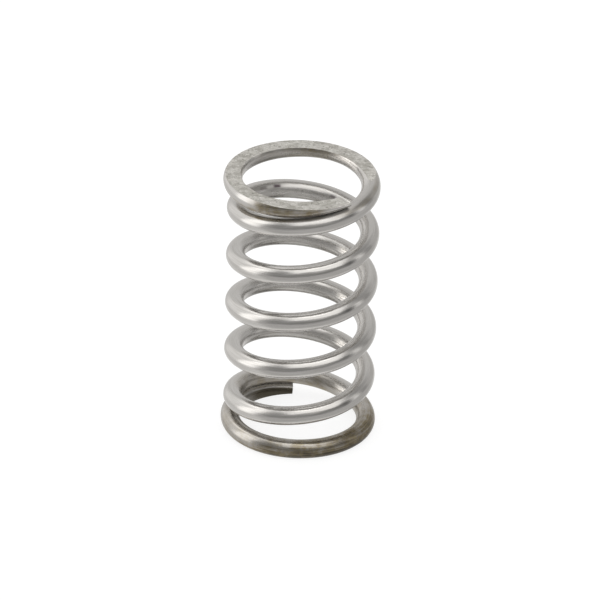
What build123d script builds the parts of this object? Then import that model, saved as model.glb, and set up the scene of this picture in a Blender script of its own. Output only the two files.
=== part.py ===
from build123d import *
import os
from math import cos, pi, radians, sin, sqrt

# Small compression spring: one right-hand coil of round stainless wire, ends closed and ground.
# It stands on its ground bottom face at z = 0, with its axis on Z.
# Turns are counted along the wire from the bottom tip.

# ---- driving dimensions, millimetres ----
wire_diameter = 1.5
outside_diameter = 12.0  # over the active coils
free_length = 21.95  # between the two ground faces
total_turns = 6.591
tip_angle = 96.2  # degrees from +X to the bottom tip, seen from above

bottom_tip_share = 0.5  # how much of the wire's thickness grinding leaves at each cut end
top_tip_share = 0.34
closed_gap = 0.03  # air between a tip and the coil that it lies on

tip_lie_turns = 0.03  # stretch of a tip that keeps the pitch of the coil beside it
tip_ease_turns = 0.23  # stretch over which a tip levels out into the closed coil
lead_turns = 0.26  # stretch over which a closed coil picks up the pitch

bottom_coil_swell = 0.18  # how much wider in radius each closed coil springs
top_coil_swell = 0.07
top_coil_shift = (-0.26, 0.35)  # how far off the axis the top closed coil sits
top_coil_lean = 0.12  # how far the top closed coil dips, a quarter turn from its tip
top_tip_spring = 0.28  # how far the top tip springs out past its own coil
tip_spring_turns = 0.28

arcs_per_turn = 30  # the wire's centre line is laid in short arcs

# ---- what follows from them ----
wire_radius = wire_diameter / 2
bottom_tip_thickness = bottom_tip_share * wire_diameter
top_tip_thickness = top_tip_share * wire_diameter
mean_radius = (outside_diameter - wire_diameter) / 2
active_turns = total_turns - 2
seated_rise = wire_diameter + closed_gap  # from a tip's centre line to its neighbour's
closed_height = seated_rise * 2 - wire_diameter + bottom_tip_thickness + top_tip_thickness
pitch = (free_length - closed_height) / active_turns
lead_middle = 1 + tip_lie_turns + tip_ease_turns / 2 - seated_rise / pitch
lead_start = lead_middle - lead_turns / 2


def share(turns, start, width):
    """How far along a stretch the wire is, from 0 before it to 1 after it."""
    return min(max((turns - start) / width, 0), 1)


def blend(turns, start, width):
    """A smooth step from 0 to 1 over a stretch of turns."""
    along = share(turns, start, width)
    return along**2 * (3 - 2 * along)


def blended_turns(turns, start, width):
    """The area under blend: turns climbed while the slope grows from none to full."""
    along = share(turns, start, width)
    return width * (along**3 - along**4 / 2) + max(turns - start - width, 0)


def climb(turns):
    """Height gained above a tip, up its tapered start, along its closed coil and up the lead."""
    tip_climb = turns - blended_turns(turns, tip_lie_turns, tip_ease_turns)
    return pitch * (tip_climb + blended_turns(turns, lead_start, lead_turns))


def height(turns):
    """Height of the wire's centre line, counted from whichever end is nearer."""
    if turns < total_turns / 2:
        return bottom_tip_thickness - wire_radius + climb(turns)
    from_top = total_turns - turns
    off_the_seat = blend(from_top, tip_lie_turns, tip_ease_turns)
    in_top_coil = 1 - blend(from_top, lead_start, lead_turns)
    dip = top_coil_lean * sin(2 * pi * from_top) * off_the_seat * in_top_coil
    return free_length - top_tip_thickness + wire_radius - climb(from_top) - dip


def centre_point(turns):
    """The wire's centre: a helix whose two closed coils are a little wider than the rest."""
    angle = radians(tip_angle) + 2 * pi * turns
    in_bottom_coil = 1 - blend(turns, lead_start, lead_turns)
    in_top_coil = 1 - blend(total_turns - turns, lead_start, lead_turns)
    radius = mean_radius + bottom_coil_swell * in_bottom_coil + top_coil_swell * in_top_coil
    radius += top_tip_spring * (1 - share(total_turns - turns, 0, tip_spring_turns)) ** 2
    x = radius * cos(angle) + top_coil_shift[0] * in_top_coil
    y = radius * sin(angle) + top_coil_shift[1] * in_top_coil
    return Vector(x, y, height(turns))


def centre_line():
    """Short arcs end to end from one cut end to the other, each through three points of the coil."""
    arcs = round(total_turns * arcs_per_turn)
    points = [centre_point(total_turns * step / (2 * arcs)) for step in range(2 * arcs + 1)]
    return Wire([ThreePointArc(*points[2 * arc : 2 * arc + 3]) for arc in range(arcs)])


def coiled_wire():
    """The round wire as it leaves the coiler, both ends sheared square."""
    path = centre_line()
    outward = (cos(radians(tip_angle)), sin(radians(tip_angle)), 0)
    section = Plane(origin=path @ 0, x_dir=outward, z_dir=path % 0) * Circle(wire_radius)
    return sweep(section, path=path, is_frenet=True)


def ground(spring):
    """Both ends ground flat and square to the axis."""
    width = 2 * outside_diameter
    between_wheels = Pos(0, 0, free_length / 2) * Box(width, width, free_length)
    return spring & between_wheels


def build_spring():
    spring = ground(coiled_wire())
    spring.label = "spring_wire"
    return spring


os.makedirs("parts", exist_ok=True)
spring_wire = build_spring()
export_step(spring_wire, "parts/spring_wire.step")

clear_bore = outside_diameter - 2 * wire_diameter
spring_index = 2 * mean_radius / wire_diameter
wire_length = total_turns * sqrt((2 * pi * mean_radius) ** 2 + (free_length / total_turns) ** 2)
print(f"pitch {pitch:.3f} mm, bore {clear_bore:.2f} mm, index {spring_index:.2f}")
print(f"wire about {wire_length:.0f} mm long, volume {spring_wire.volume:.2f} mm3")
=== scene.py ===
from math import cos, pi, radians, sin

import bpy
from mathutils import Matrix, Vector


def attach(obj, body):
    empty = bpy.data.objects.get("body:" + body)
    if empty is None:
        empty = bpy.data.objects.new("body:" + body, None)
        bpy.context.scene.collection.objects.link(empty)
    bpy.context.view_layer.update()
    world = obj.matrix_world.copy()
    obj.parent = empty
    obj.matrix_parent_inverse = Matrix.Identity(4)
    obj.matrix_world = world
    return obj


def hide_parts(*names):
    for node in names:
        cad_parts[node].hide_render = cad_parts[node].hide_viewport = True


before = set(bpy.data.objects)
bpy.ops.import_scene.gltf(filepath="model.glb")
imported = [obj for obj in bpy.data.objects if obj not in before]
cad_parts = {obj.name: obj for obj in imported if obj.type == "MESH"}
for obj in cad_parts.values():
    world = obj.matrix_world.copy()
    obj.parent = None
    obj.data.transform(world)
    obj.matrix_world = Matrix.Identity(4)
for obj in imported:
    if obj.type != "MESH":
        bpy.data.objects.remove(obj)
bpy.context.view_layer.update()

MM = 0.001

# ---- the spring's own sizes, millimetres and turns ----
WIRE_RADIUS = 0.75
MEAN_RADIUS = 5.25
FREE_LENGTH = 21.95
TOTAL_TURNS = 6.591
TIP_ANGLE = 96.2
BOTTOM_TIP = 0.75  # how thick each cut end is left by grinding
TOP_TIP = 0.51
CLOSED_GAP = 0.03  # air between a tip and the coil that it lies on
TIP_LIE = 0.03  # turns over which a tip keeps the pitch of the coil beside it
TIP_EASE = 0.23  # turns over which it then levels out into the closed coil
LEAD = 0.26  # turns over which a closed coil picks up the pitch
BOTTOM_SWELL = 0.18  # how much wider in radius each closed coil springs
TOP_SWELL = 0.07
TOP_SHIFT = (-0.26, 0.35)  # how far off the axis the top closed coil sits
TOP_LEAN = 0.12  # how far it dips, a quarter turn from its tip
TIP_SPRING = 0.28  # how far the top tip springs out past its own coil
TIP_SPRING_TURNS = 0.28

SEATED_RISE = 2 * WIRE_RADIUS + CLOSED_GAP
PITCH = (FREE_LENGTH - 2 * SEATED_RISE + 2 * WIRE_RADIUS - BOTTOM_TIP - TOP_TIP) / (TOTAL_TURNS - 2)
LEAD_START = 1 + TIP_LIE + TIP_EASE / 2 - SEATED_RISE / PITCH - LEAD / 2

# ---- how finely the wire is drawn ----
RINGS_PER_TURN = 120
WIRE_SIDES = 48
AHEAD = 1e-3  # turns looked ahead and back to find the way that the wire runs
FLAT = 0.999  # how upright a ground face's normal is
ON_THE_FACE = 0.001  # millimetres


def share(turns, start, width):
    """How far along a stretch the wire is, from 0 before it to 1 after it."""
    return min(max((turns - start) / width, 0), 1)


def blend(turns, start, width):
    """A smooth step from 0 to 1 over a stretch of turns."""
    along = share(turns, start, width)
    return along**2 * (3 - 2 * along)


def blended_turns(turns, start, width):
    """The area under blend: turns climbed while the slope grows from none to full."""
    along = share(turns, start, width)
    return width * (along**3 - along**4 / 2) + max(turns - start - width, 0)


def climb(turns):
    """Height gained above a tip, up its tapered start, along its closed coil and up the lead."""
    tip_climb = turns - blended_turns(turns, TIP_LIE, TIP_EASE)
    return PITCH * (tip_climb + blended_turns(turns, LEAD_START, LEAD))


def wire_centre(turns):
    """Middle of the wire, this many turns up from the bottom tip."""
    from_top = TOTAL_TURNS - turns
    low = 1 - blend(turns, LEAD_START, LEAD)
    high = 1 - blend(from_top, LEAD_START, LEAD)
    angle = radians(TIP_ANGLE) + 2 * pi * turns
    radius = MEAN_RADIUS + BOTTOM_SWELL * low + TOP_SWELL * high
    radius += TIP_SPRING * (1 - share(from_top, 0, TIP_SPRING_TURNS)) ** 2
    if turns < from_top:
        z = BOTTOM_TIP - WIRE_RADIUS + climb(turns)
    else:
        dip = TOP_LEAN * sin(2 * pi * from_top) * blend(from_top, TIP_LIE, TIP_EASE) * high
        z = FREE_LENGTH - TOP_TIP + WIRE_RADIUS - climb(from_top) - dip
    x = radius * cos(angle) + TOP_SHIFT[0] * high
    y = radius * sin(angle) + TOP_SHIFT[1] * high
    return Vector((x, y, z))


# ---------------------------------------------------------------- the wound wire
def select_none():
    bpy.ops.object.select_all(action="DESELECT")


def wind_wire():
    """A circle of wire is screwed round the axis; set_rings then sets every ring to the coil's own rise."""
    select_none()
    bpy.ops.mesh.primitive_circle_add(
        vertices=WIRE_SIDES,
        radius=WIRE_RADIUS * MM,
        location=(MEAN_RADIUS * MM, 0, 0),
        rotation=(pi / 2, 0, 0),
    )
    wire = bpy.context.object
    wire.name = "wound_wire"
    bpy.ops.object.transform_apply(location=True, rotation=True, scale=True)
    winding = wire.modifiers.new("winding", "SCREW")
    winding.angle = 2 * pi * TOTAL_TURNS
    winding.screw_offset = PITCH * TOTAL_TURNS * MM
    winding.steps = winding.render_steps = round(TOTAL_TURNS * RINGS_PER_TURN)
    bpy.ops.object.modifier_apply(modifier="winding")
    return wire


def set_rings(wire):
    """Moves each ring of the winding on to the real centre line, and lays the wire's UV map."""
    mesh = wire.data
    rings = len(mesh.vertices) // WIRE_SIDES
    for ring in range(rings):
        turns = TOTAL_TURNS * ring / (rings - 1)
        middle = wire_centre(turns)
        ahead = (wire_centre(turns + AHEAD) - wire_centre(turns - AHEAD)).normalized()
        angle = radians(TIP_ANGLE) + 2 * pi * turns
        outward = Vector((cos(angle), sin(angle), 0))
        outward = (outward - outward.dot(ahead) * ahead).normalized()
        upward = outward.cross(ahead)
        if upward.z < 0:
            upward.negate()
        for side in range(WIRE_SIDES):
            round_wire = 2 * pi * side / WIRE_SIDES
            spoke = outward * cos(round_wire) + upward * sin(round_wire)
            mesh.vertices[ring * WIRE_SIDES + side].co = (middle + spoke * WIRE_RADIUS) * MM
    lay_uv_map(mesh, rings)


def lay_uv_map(mesh, rings):
    """U runs in turns along the wire and V once round it, from the outside over the top."""
    uv = mesh.uv_layers.new(name="WireUV")
    for face in mesh.polygons:
        corners = []
        for corner in face.loop_indices:
            ring, side = divmod(mesh.loops[corner].vertex_index, WIRE_SIDES)
            corners.append((corner, ring, side))
        over_seam = {side for _, _, side in corners} == {0, WIRE_SIDES - 1}
        for corner, ring, side in corners:
            if over_seam and side == 0:
                side = WIRE_SIDES
            uv.data[corner].uv = (TOTAL_TURNS * ring / (rings - 1), side / WIRE_SIDES)


def close_cut_ends():
    """Caps the two sheared ends of the wire."""
    bpy.ops.object.mode_set(mode="EDIT")
    bpy.ops.mesh.select_mode(type="EDGE")
    bpy.ops.mesh.select_all(action="DESELECT")
    bpy.ops.mesh.select_non_manifold(extend=False, use_boundary=True, use_wire=False, use_multi_face=False)
    bpy.ops.mesh.edge_face_add()
    bpy.ops.mesh.select_all(action="SELECT")
    bpy.ops.mesh.normals_make_consistent(inside=False)
    bpy.ops.object.mode_set(mode="OBJECT")


def grind(height, normal):
    """Cuts the coil off flat at this height and fills the ground face."""
    bpy.ops.object.mode_set(mode="EDIT")
    bpy.ops.mesh.select_all(action="SELECT")
    bpy.ops.mesh.bisect(
        plane_co=(0, 0, height * MM),
        plane_no=(0, 0, normal),
        use_fill=True,
        clear_outer=True,
        threshold=1e-7,
    )
    bpy.ops.object.mode_set(mode="OBJECT")


def pick_materials(wire, drawn, ground, sheared):
    """Gives the ground faces and the two cut ends their own finish."""
    mesh = wire.data
    for material in (drawn, ground, sheared):
        mesh.materials.append(material)
    for face in mesh.polygons:
        height = face.center.z / MM
        at_an_end = height < ON_THE_FACE or height > FREE_LENGTH - ON_THE_FACE
        cap = len(face.vertices) > 6
        if at_an_end and abs(face.normal.z) > FLAT:
            face.material_index = 1
        elif cap:
            face.material_index = 2


# ---------------------------------------------------------------- materials
class Nodes:
    """Adds shader nodes and wires them up, one short call each."""

    def __init__(self, tree):
        self.tree = tree
        tree.nodes.clear()

    def add(self, kind, **settings):
        """A new node, with its settings."""
        node = self.tree.nodes.new(kind)
        for name, value in settings.items():
            setattr(node, name, value)
        return node

    def feed(self, socket, value):
        """Links another node's output to the socket, or sets a plain value on it."""
        if isinstance(value, bpy.types.NodeSocket):
            self.tree.links.new(value, socket)
        else:
            socket.default_value = value

    def math(self, operation, *values):
        """One sum on sockets or numbers."""
        node = self.add("ShaderNodeMath", operation=operation)
        for socket, value in zip(node.inputs, values):
            self.feed(socket, value)
        return node.outputs[0]

    def smooth(self, value, start, end, low=0.0, high=1.0):
        """low up to start, high from end, and a smooth step between them."""
        node = self.add("ShaderNodeMapRange", interpolation_type="SMOOTHSTEP")
        for name, given in (
            ("Value", value), ("From Min", start), ("From Max", end), ("To Min", low), ("To Max", high)
        ):
            self.feed(node.inputs[name], given)
        return node.outputs["Result"]

    def window(self, value, low, high, soft):
        """1 between low and high, with a soft edge at each."""
        rise = self.smooth(value, low - soft / 2, low + soft / 2)
        fall = self.smooth(value, high - soft / 2, high + soft / 2, 1.0, 0.0)
        return self.math("MULTIPLY", rise, fall)

    def times(self, first, *others):
        """All of these multiplied together."""
        for other in others:
            first = self.math("MULTIPLY", first, other)
        return first

    def noise(self, vector, scale, detail, roughness):
        node = self.add("ShaderNodeTexNoise")
        self.feed(node.inputs["Vector"], vector)
        node.inputs["Scale"].default_value = scale
        node.inputs["Detail"].default_value = detail
        node.inputs["Roughness"].default_value = roughness
        return node.outputs["Fac"]

    def mix(self, amount, first, second):
        """Goes from the first colour to the second as the amount goes from 0 to 1."""
        node = self.add("ShaderNodeMix", data_type="RGBA")
        colour_a, colour_b = node.inputs[6], node.inputs[7]
        self.feed(node.inputs["Factor"], amount)
        self.feed(colour_a, first)
        self.feed(colour_b, second)
        return node.outputs[2]


def start_material(name, base, roughness):
    """A bare metal with its own shader, and the painter that adds detail to it."""
    material = bpy.data.materials.new(name)
    material.use_nodes = True
    paint = Nodes(material.node_tree)
    metal = paint.add("ShaderNodeBsdfPrincipled")
    metal.inputs["Base Color"].default_value = (*base, 1)
    metal.inputs["Metallic"].default_value = 1
    metal.inputs["Roughness"].default_value = roughness
    paint.feed(paint.add("ShaderNodeOutputMaterial").inputs[0], metal.outputs[0])
    return material, paint, metal


def bumps(paint, metal, *layers):
    """Chains bump layers, each a height and its depth in millimetres, into the shader's normal."""
    normal = None
    for height, depth in layers:
        bump = paint.add("ShaderNodeBump")
        bump.inputs["Distance"].default_value = depth * MM
        paint.feed(bump.inputs["Height"], height)
        if normal is not None:
            paint.feed(bump.inputs["Normal"], normal)
        normal = bump.outputs[0]
    paint.feed(metal.inputs["Normal"], normal)


def wire_places(paint):
    """Turns along the wire, and the cosine and sine of the place round it, outside and top."""
    split = paint.add("ShaderNodeSeparateXYZ")
    paint.feed(split.inputs[0], paint.add("ShaderNodeUVMap", uv_map="WireUV").outputs[0])
    turns = split.outputs[0]
    around = paint.math("MULTIPLY", split.outputs[1], 2 * pi)
    return turns, paint.math("COSINE", around), paint.math("SINE", around)


def grain(paint, turns, outside, top, stretch):
    """Noise space in millimetres that is drawn out along the wire and closes round it."""
    joined = paint.add("ShaderNodeCombineXYZ")
    length = 2 * pi * MEAN_RADIUS / stretch
    paint.feed(joined.inputs[0], paint.math("MULTIPLY", turns, length))
    paint.feed(joined.inputs[1], paint.math("MULTIPLY", outside, WIRE_RADIUS))
    paint.feed(joined.inputs[2], paint.math("MULTIPLY", top, WIRE_RADIUS))
    return joined.outputs[0]


def object_millimetres(paint):
    """Noise space in millimetres that is fixed to the spring."""
    scaled = paint.add("ShaderNodeVectorMath", operation="SCALE")
    paint.feed(scaled.inputs[0], paint.add("ShaderNodeTexCoord").outputs["Object"])
    scaled.inputs["Scale"].default_value = 1000
    return scaled.outputs[0]


# Dull, browned stretches of wire: from and to in turns, the soft edge, how dull, and where round it.
BROWNED = (
    (0.14, 0.41, 0.07, 0.44, "round"),
    (0.30, 0.46, 0.06, 0.45, "belly"),
    (0.40, 0.48, 0.06, 0.54, "round"),
    (0.48, 0.56, 0.05, 0.72, "round"),
    (0.42, 0.60, 0.05, 0.16, "outer"),
    (0.56, 0.72, 0.05, 0.98, "round"),
    (0.54, 0.70, 0.06, 0.20, "shoulder"),
    (0.46, 0.66, 0.06, 0.80, "belly"),
    (0.72, 0.82, 0.05, 0.40, "round"),
    (0.71, 0.83, 0.05, 0.34, "outer"),
    (5.56, 5.72, 0.06, 0.40, "shoulder"),
    (5.70, 5.82, 0.06, 0.16, "shoulder"),
    (6.25, 6.39, 0.06, 0.60, "belly"),
    (6.380, 6.53, 0.05, 0.76, "outer"),
    (0.70, 0.82, 0.05, 0.15, "inner"),
    (0.90, 1.24, 0.08, 0.42, "inner"),
    (0.86, 0.95, 0.05, 0.22, "inner"),
    (5.88, 6.02, 0.06, 0.58, "lip"),
    (6.02, 6.12, 0.06, 0.20, "lip"),
    (6.20, 6.32, 0.06, 0.30, "lip"),
)


def browned_and_shaded(paint, turns, outside, top, patches, lines):
    """How brown the wire is here: the closed coils kept the heat of coiling and setting. The low side is
    weighted up, as painted shade for the floor's shadow that it would reflect.
    """
    # painted shade: up to 1.5 times more brown on the low side, standing in for the floor's shadow
    low_side = paint.smooth(top, -0.70, 0.80, 1.50, 0.80)
    outer = paint.smooth(outside, -0.1, 0.5)
    inner = paint.smooth(outside, 0.1, -0.6)
    places = {
        "round": low_side,
        "outer": outer,
        "shoulder": paint.times(outer, paint.window(top, 0.60, 0.92, 0.16)),
        "belly": paint.smooth(top, -0.1, -0.5),
        "inner": paint.times(inner, low_side),
        "lip": paint.times(inner, paint.smooth(top, -0.3, 0.5, 0.6, 1.4)),
    }
    total = 0.0
    for low, high, soft, dull, place in BROWNED:
        stretch = paint.times(paint.window(turns, low, high, soft), dull, places[place])
        total = paint.math("ADD", total, stretch)
    mottled = paint.smooth(patches, 0.34, 0.66, 0.70, 1.28)
    drawn = paint.smooth(lines, 0.34, 0.66, 0.74, 1.26)
    return paint.times(total, mottled, drawn)


def inner_underside_shade(paint, outside, top):
    """Painted shade on the low side of the inside, standing in for the shadowed floor and coils that it
    reflects.
    """
    return paint.times(paint.smooth(outside, -0.5, -0.85), paint.smooth(top, -0.1, -0.55))


def inner_highlight(paint, turns, outside, top):
    """A painted highlight inside each coil, where the softbox on the left is reflected, longest in the top
    coil.
    """
    part_turn = paint.math("FRACT", turns)
    each_coil = paint.times(paint.window(part_turn, 0.822, 0.876, 0.024), paint.window(top, 0.2, 0.72, 0.24))
    top_coil = paint.times(paint.window(turns, 5.80, 5.89, 0.03), paint.window(top, -0.15, 0.72, 0.24))
    return paint.times(paint.math("MAXIMUM", each_coil, top_coil), paint.smooth(outside, -0.4, -0.7))


# Small dark heat spots: turns along the wire, half length, the sine of the place round it, how dark.
SPOTS = (
    (5.060, 0.010, 0.66, 0.85),
    (4.902, 0.008, 0.56, 0.55),
    (5.105, 0.012, 0.62, 0.45),
)


def heat_spots(paint, turns, outside, top):
    """Dark marks on the inside of the coil under the top one."""
    total = 0.0
    for middle, half_length, side, dark in SPOTS:
        along = paint.window(turns, middle - half_length, middle + half_length, half_length)
        round_it = paint.window(top, side - 0.12, side + 0.12, 0.12)
        total = paint.math("ADD", total, paint.times(along, round_it, dark))
    return paint.times(total, paint.smooth(outside, -0.3, -0.5))


def burnt_tip(paint, turns, top):
    """The bottom tip is nearly black, up to a line just under its bearing side."""
    low_side = paint.smooth(top, 0.72, 0.52)
    return paint.times(paint.window(turns, -0.3, 0.15, 0.10), low_side)


def seat_shade(paint, turns, top):
    """Painted shade: the dark line where the top tip bears on the coil beside it, on that coil's top and
    under the tip.
    """
    over = paint.times(paint.smooth(top, 0.72, 0.98), paint.window(turns, 5.44, 5.62, 0.08))
    under = paint.times(paint.smooth(top, -0.84, -1.0), paint.window(turns, 6.44, 6.80, 0.08))
    return paint.math("ADD", over, under)


DULL_STEEL = (0.58, 0.565, 0.545, 1)
BRIGHT_STEEL = (0.655, 0.645, 0.63, 1)
# colour of the painted shade on the low side of the inside
SHADED_STEEL = (0.40, 0.39, 0.37, 1)
# colour of the painted highlight inside the coils
PAINTED_HIGHLIGHT = (0.93, 0.90, 0.86, 1)
DEEP_BROWN = (0.20, 0.165, 0.100, 1)
PALE_BROWN = (0.26, 0.220, 0.140, 1)
PURPLE_BROWN = (0.20, 0.17, 0.17, 1)
# darkest brown, also carrying painted shade on the low side
SCORCHED_AND_SHADED = (0.085, 0.074, 0.056, 1)
HEAT_SPOT = (0.075, 0.045, 0.060, 1)
BURNT = (0.10, 0.088, 0.066, 1)
# colour of the painted contact shade under the top tip
SEAT_SHADE_DARK = (0.06, 0.05, 0.04, 1)


def drawn_wire():
    """Satin drawn stainless: die lines along the wire, soft dents, browned closed coils, and painted shade
    and highlights in its colour.
    """
    material, paint, metal = start_material("drawn_stainless", (0.62, 0.608, 0.592), 0.16)
    turns, outside, top = wire_places(paint)
    here = object_millimetres(paint)
    lines = paint.noise(grain(paint, turns, outside, top, 40), 16, 3, 0.6)
    bands = paint.noise(grain(paint, turns, outside, top, 7), 2.4, 2, 0.5)
    patches = paint.noise(here, 1.1, 3, 0.6)
    specks = paint.noise(here, 9, 2, 0.6)

    clean = paint.mix(paint.smooth(lines, 0.30, 0.70), DULL_STEEL, BRIGHT_STEEL)
    # painted shade: the low side of the inside is darkened
    clean = paint.mix(inner_underside_shade(paint, outside, top), clean, SHADED_STEEL)
    # painted highlight on the inside of each coil
    clean = paint.mix(inner_highlight(paint, turns, outside, top), clean, PAINTED_HIGHLIGHT)
    brown = paint.mix(paint.smooth(patches, 0.40, 0.60), DEEP_BROWN, PALE_BROWN)
    brown = paint.mix(paint.smooth(specks, 0.54, 0.66), brown, PURPLE_BROWN)
    tarnish_and_shade = browned_and_shaded(paint, turns, outside, top, patches, lines)
    amount = paint.math("MINIMUM", tarnish_and_shade, 1.0)
    tinted = paint.mix(amount, clean, brown)
    # a darker layer where the sum runs past full: part deep tint, part painted shade on the low side
    tinted = paint.mix(paint.smooth(tarnish_and_shade, 0.9, 1.8), tinted, SCORCHED_AND_SHADED)
    tinted = paint.mix(heat_spots(paint, turns, outside, top), tinted, HEAT_SPOT)
    tinted = paint.mix(burnt_tip(paint, turns, top), tinted, BURNT)
    seat_shade_mask = seat_shade(paint, turns, top)
    # painted shade along the line where the top tip bears on the coil beside it
    tinted = paint.mix(paint.times(seat_shade_mask, 0.2), tinted, SEAT_SHADE_DARK)
    paint.feed(metal.inputs["Base Color"], tinted)

    inside = paint.smooth(outside, 0.1, -0.7, 0.0, 0.09)
    satin = paint.math("ADD", paint.smooth(bands, 0.30, 0.70, 0.14, 0.22), inside)
    rough = paint.math("ADD", satin, paint.times(amount, 0.07))
    rough = paint.math("ADD", rough, paint.times(seat_shade_mask, 0.3))
    paint.feed(metal.inputs["Roughness"], rough)
    bumps(paint, metal, (bands, 0.022), (lines, 0.003), (specks, 0.004))
    return material


def scratches(paint, here, turned, stretch, scale):
    """Straight fine scratches that run one way across a ground face."""
    lay = paint.add("ShaderNodeMapping")
    lay.inputs["Rotation"].default_value = (0, 0, radians(turned))
    lay.inputs["Scale"].default_value = (1 / stretch, 1, 1)
    paint.feed(lay.inputs["Vector"], here)
    return paint.noise(lay.outputs[0], scale, 3, 0.65)


GROUND_DARK = (0.40, 0.385, 0.345, 1)
GROUND_LIGHT = (0.80, 0.79, 0.755, 1)
BLOTCH_DARK = (0.46, 0.445, 0.40, 1)
BLOTCH_LIGHT = (0.78, 0.765, 0.725, 1)
NICK = (0.16, 0.153, 0.13, 1)
GLINT = (0.95, 0.94, 0.92, 1)


def ground_steel():
    """Ground flat: crossing wheel scratches, dull and bright blotches, dark nicks and small glints."""
    material, paint, metal = start_material("ground_stainless", (0.64, 0.62, 0.58), 0.42)
    here = object_millimetres(paint)
    along = scratches(paint, here, 24, 7, 15)
    across = scratches(paint, here, -58, 5, 13)
    blotches = paint.noise(here, 1.3, 3, 0.65)
    grit = paint.noise(here, 5.5, 3, 0.7)
    marks = paint.math("ADD", paint.times(along, 0.5), paint.times(across, 0.5))
    grey = paint.mix(paint.smooth(marks, 0.42, 0.58), GROUND_DARK, GROUND_LIGHT)
    blotched = paint.mix(paint.smooth(blotches, 0.43, 0.57), BLOTCH_DARK, BLOTCH_LIGHT)
    both = paint.mix(0.5, grey, blotched)
    nicked = paint.mix(paint.smooth(grit, 0.61, 0.68), both, NICK)
    lit = paint.mix(paint.smooth(grit, 0.33, 0.40, 1.0, 0.0), nicked, GLINT)
    paint.feed(metal.inputs["Base Color"], lit)
    paint.feed(metal.inputs["Roughness"], paint.smooth(marks, 0.35, 0.65, 0.32, 0.56))
    bumps(paint, metal, (marks, 0.03), (grit, 0.03), (blotches, 0.04))
    return material


TORN_DARK = (0.30, 0.285, 0.26, 1)
TORN_LIGHT = (0.58, 0.565, 0.54, 1)


def sheared_steel():
    """Sheared ends: a dull torn face."""
    material, paint, metal = start_material("sheared_stainless", (0.45, 0.44, 0.42), 0.4)
    torn = paint.noise(object_millimetres(paint), 6, 3, 0.6)
    paint.feed(metal.inputs["Base Color"], paint.mix(torn, TORN_DARK, TORN_LIGHT))
    paint.feed(metal.inputs["Roughness"], paint.smooth(torn, 0.3, 0.7, 0.32, 0.55))
    bumps(paint, metal, (torn, 0.03))
    return material


# ---------------------------------------------------------------- studio
CAMERA_ELEVATION = 27.909
CAMERA_ROLL = 1.52
CAMERA_DISTANCE = 439.80  # millimetres from the middle of the spring
FOCAL_PIXELS = 5572.3
FRAME_PIXELS = 600
SENSOR = 36.0
LOOK_AT_RIGHT = 1.07  # pixels between the middle of the spring and the middle of the frame
LOOK_AT_DOWN = 0.61

FLOOR_SIZE = 4  # metres
FLOOR_DROP = 0.00001  # metres below the bottom face, so that the two never fight
FLOOR_SHADE = 0.3
FLOOR_GLOW = 0.82
ROOM_LIGHT = 0.8
STEEL = 0.62
WHITE = (1, 1, 1, 1)
WARM_WHITE = (1.0, 0.985, 0.965, 1)


def add_camera():
    """A long lens in front of the spring and above it, turned a little on its own axis."""
    data = bpy.data.cameras.new("camera")
    data.sensor_width = SENSOR
    data.lens = FOCAL_PIXELS * SENSOR / FRAME_PIXELS
    data.clip_start = 0.01
    data.shift_x = -LOOK_AT_RIGHT / FRAME_PIXELS
    data.shift_y = LOOK_AT_DOWN / FRAME_PIXELS
    camera = bpy.data.objects.new("camera", data)
    bpy.context.scene.collection.objects.link(camera)
    tilt = radians(90 - CAMERA_ELEVATION)
    back = CAMERA_DISTANCE * cos(radians(CAMERA_ELEVATION))
    up = CAMERA_DISTANCE * sin(radians(CAMERA_ELEVATION)) + FREE_LENGTH / 2
    place = Matrix.Translation(Vector((0, -back, up)) * MM)
    roll = Matrix.Rotation(radians(CAMERA_ROLL), 4, "Z")
    camera.matrix_world = place @ Matrix.Rotation(tilt, 4, "X") @ roll
    bpy.context.scene.camera = camera


def add_floor():
    """White paper that keeps a faint shadow; the metal looks through it to the studio below."""
    select_none()
    bpy.ops.mesh.primitive_plane_add(size=FLOOR_SIZE, location=(0, 0, -FLOOR_DROP))
    floor = bpy.context.object
    floor.name = "floor"
    material = bpy.data.materials.new("white_floor")
    material.use_nodes = True
    paint = Nodes(material.node_tree)
    paper = paint.add("ShaderNodeBsdfDiffuse")
    paper.inputs["Color"].default_value = (FLOOR_SHADE, FLOOR_SHADE, FLOOR_SHADE, 1)
    glow = paint.add("ShaderNodeEmission")
    glow.inputs["Strength"].default_value = FLOOR_GLOW
    both = paint.add("ShaderNodeAddShader")
    paint.feed(both.inputs[0], paper.outputs[0])
    paint.feed(both.inputs[1], glow.outputs[0])
    clear = paint.add("ShaderNodeBsdfTransparent")
    rays = paint.add("ShaderNodeLightPath")
    seen = paint.add("ShaderNodeMixShader")
    paint.feed(seen.inputs[0], rays.outputs["Is Glossy Ray"])
    paint.feed(seen.inputs[1], both.outputs[0])
    paint.feed(seen.inputs[2], clear.outputs[0])
    paint.feed(paint.add("ShaderNodeOutputMaterial").inputs[0], seen.outputs[0])
    floor.data.materials.append(material)


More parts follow.
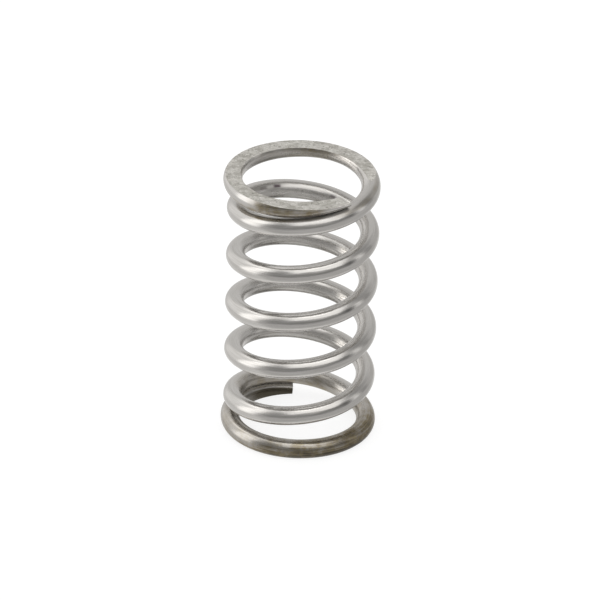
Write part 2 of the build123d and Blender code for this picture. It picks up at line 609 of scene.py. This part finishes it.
# Softboxes and dark cards round the spring: how much light each adds, then the windows that bound it.
# A window is a direction, from, to and the soft edge. Rise is in degrees above the floor, and past_left,
# past_front and past_right are degrees round the axis from that side. The others are slopes overhead.
OPEN_STUDIO = 0.33
PANELS = (
    (0.46, ("over_x", -0.45, 9, 0.4), ("over_y", -1.08, 0.38, 0.26), ("skewed", -9, 0.55, 0.4)),
    (0.36, ("rise", 73, 99, 12)),
    (0.34, ("rise", 81, 99, 10)),
    (0.68, ("past_left", -20, 13, 14), ("rise", -13, 50, 24)),
    (0.26, ("past_left", 14, 62, 22), ("rise", -14, 48, 26)),
    (0.30, ("past_left", -4, 48, 16), ("rise", 42, 74, 20)),
    (0.60, ("past_left", 28, 60, 14), ("rise", 46, 76, 14)),
    (0.10, ("past_right", 45, 118, 40), ("rise", -25, 48, 20)),
    (-0.13, ("past_front", -64, 76, 12), ("rise", -3, 32, 20)),
    (-0.05, ("past_front", 50, 80, 16), ("rise", 6, 34, 16)),
    (-0.11, ("past_right", 10, 62, 16), ("rise", 36, 66, 16)),
    (-0.11, ("past_right", 9, 26, 8), ("rise", 2, 34, 16)),
    (0.22, ("past_right", -7, 5, 10), ("rise", 4, 40, 16)),
    (-0.06, ("past_right", -26, -11, 10), ("rise", -4, 40, 16)),
    (-0.12, ("past_left", -18, -9, 8), ("rise", -8, 30, 12)),
    (0.08, ("past_left", -36, -25, 10), ("rise", -4, 26, 12)),
    (-0.08, ("past_left", -56, -34, 12), ("rise", 28, 56, 14)),
    (0.12, ("past_front", 8, 38, 12), ("rise", 24, 44, 12)),
    (0.14, ("past_left", -30, 76, 24), ("rise", -66, -20, 14)),
    (0.20, ("past_left", 64, 84, 12), ("rise", -64, -34, 14)),
    (0.10, ("past_right", 5, 38, 16), ("rise", -76, -50, 12)),
    (0.09, ("past_front", -120, 100, 20), ("rise", -100, -64, 20)),
    (-0.035, ("past_front", -50, 40, 16), ("rise", -8, 10, 8)),
    (0.16, ("past_left", 12, 42, 12), ("rise", 54, 70, 10)),
    (0.12, ("past_right", 50, 88, 14), ("rise", -42, -18, 10)),
    (-0.06, ("past_right", 44, 70, 10), ("rise", -8, 20, 10)),
    (0.22, ("past_left", 40, 72, 14), ("rise", 34, 54, 12)),
    (0.12, ("rise", -100, -60, 24)),
    (0.10, ("rise", -100, -78, 14)),
)


def studio_light(paint):
    """Brightness of the studio in each direction, as the metal sees it."""
    where = paint.add("ShaderNodeTexCoord").outputs["Generated"]
    parts = paint.add("ShaderNodeSeparateXYZ")
    paint.feed(parts.inputs[0], where)
    x, y, z = parts.outputs
    minus_x, minus_y = paint.math("MULTIPLY", x, -1.0), paint.math("MULTIPLY", y, -1.0)
    above_floor = paint.math("MAXIMUM", z, 0.02)
    over_x, over_y = paint.math("DIVIDE", x, above_floor), paint.math("DIVIDE", y, above_floor)
    directions = {
        "rise": paint.math("DEGREES", paint.math("ARCSINE", z)),
        "past_left": paint.math("DEGREES", paint.math("ARCTAN2", y, minus_x)),
        "past_front": paint.math("DEGREES", paint.math("ARCTAN2", x, minus_y)),
        "past_right": paint.math("DEGREES", paint.math("ARCTAN2", y, x)),
        "over_x": over_x,
        "over_y": over_y,
        "skewed": paint.math("ADD", over_x, paint.math("MULTIPLY", over_y, 0.9)),
    }
    total = OPEN_STUDIO
    for gain, *windows in PANELS:
        bounds = [paint.window(directions[way], low, high, soft) for way, low, high, soft in windows]
        total = paint.math("ADD", total, paint.times(gain, *bounds))
    return paint.math("DIVIDE", total, STEEL)


def add_world():
    """The metal sees the studio, the floor is lit by an even room, and the camera sees white."""
    world = bpy.data.worlds.new("studio")
    bpy.context.scene.world = world
    world.use_nodes = True
    paint = Nodes(world.node_tree)
    rays = paint.add("ShaderNodeLightPath")
    glossy = paint.add("ShaderNodeBackground")
    paint.feed(glossy.inputs["Strength"], studio_light(paint))
    glossy.inputs["Color"].default_value = WARM_WHITE
    room = paint.add("ShaderNodeBackground")
    room.inputs["Color"].default_value = WHITE
    room.inputs["Strength"].default_value = ROOM_LIGHT
    white = paint.add("ShaderNodeBackground")
    white.inputs["Color"].default_value = WHITE
    lit = paint.add("ShaderNodeMixShader")
    paint.feed(lit.inputs[0], rays.outputs["Is Glossy Ray"])
    paint.feed(lit.inputs[1], room.outputs[0])
    paint.feed(lit.inputs[2], glossy.outputs[0])
    seen = paint.add("ShaderNodeMixShader")
    paint.feed(seen.inputs[0], rays.outputs["Is Camera Ray"])
    paint.feed(seen.inputs[1], lit.outputs[0])
    paint.feed(seen.inputs[2], white.outputs[0])
    paint.feed(paint.add("ShaderNodeOutputWorld").inputs[0], seen.outputs[0])


def build_spring():
    """Winds the wire, cuts and grinds its ends, finishes it and stands it in for the plain solid."""
    wire = wind_wire()
    set_rings(wire)
    close_cut_ends()
    grind(0, -1)
    grind(FREE_LENGTH, 1)
    pick_materials(wire, drawn_wire(), ground_steel(), sheared_steel())
    bpy.ops.object.shade_smooth_by_angle(angle=radians(30))
    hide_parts("spring_wire")
    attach(wire, "root")


bpy.context.scene.view_settings.view_transform = "Standard"
build_spring()
add_floor()
add_world()
add_camera()
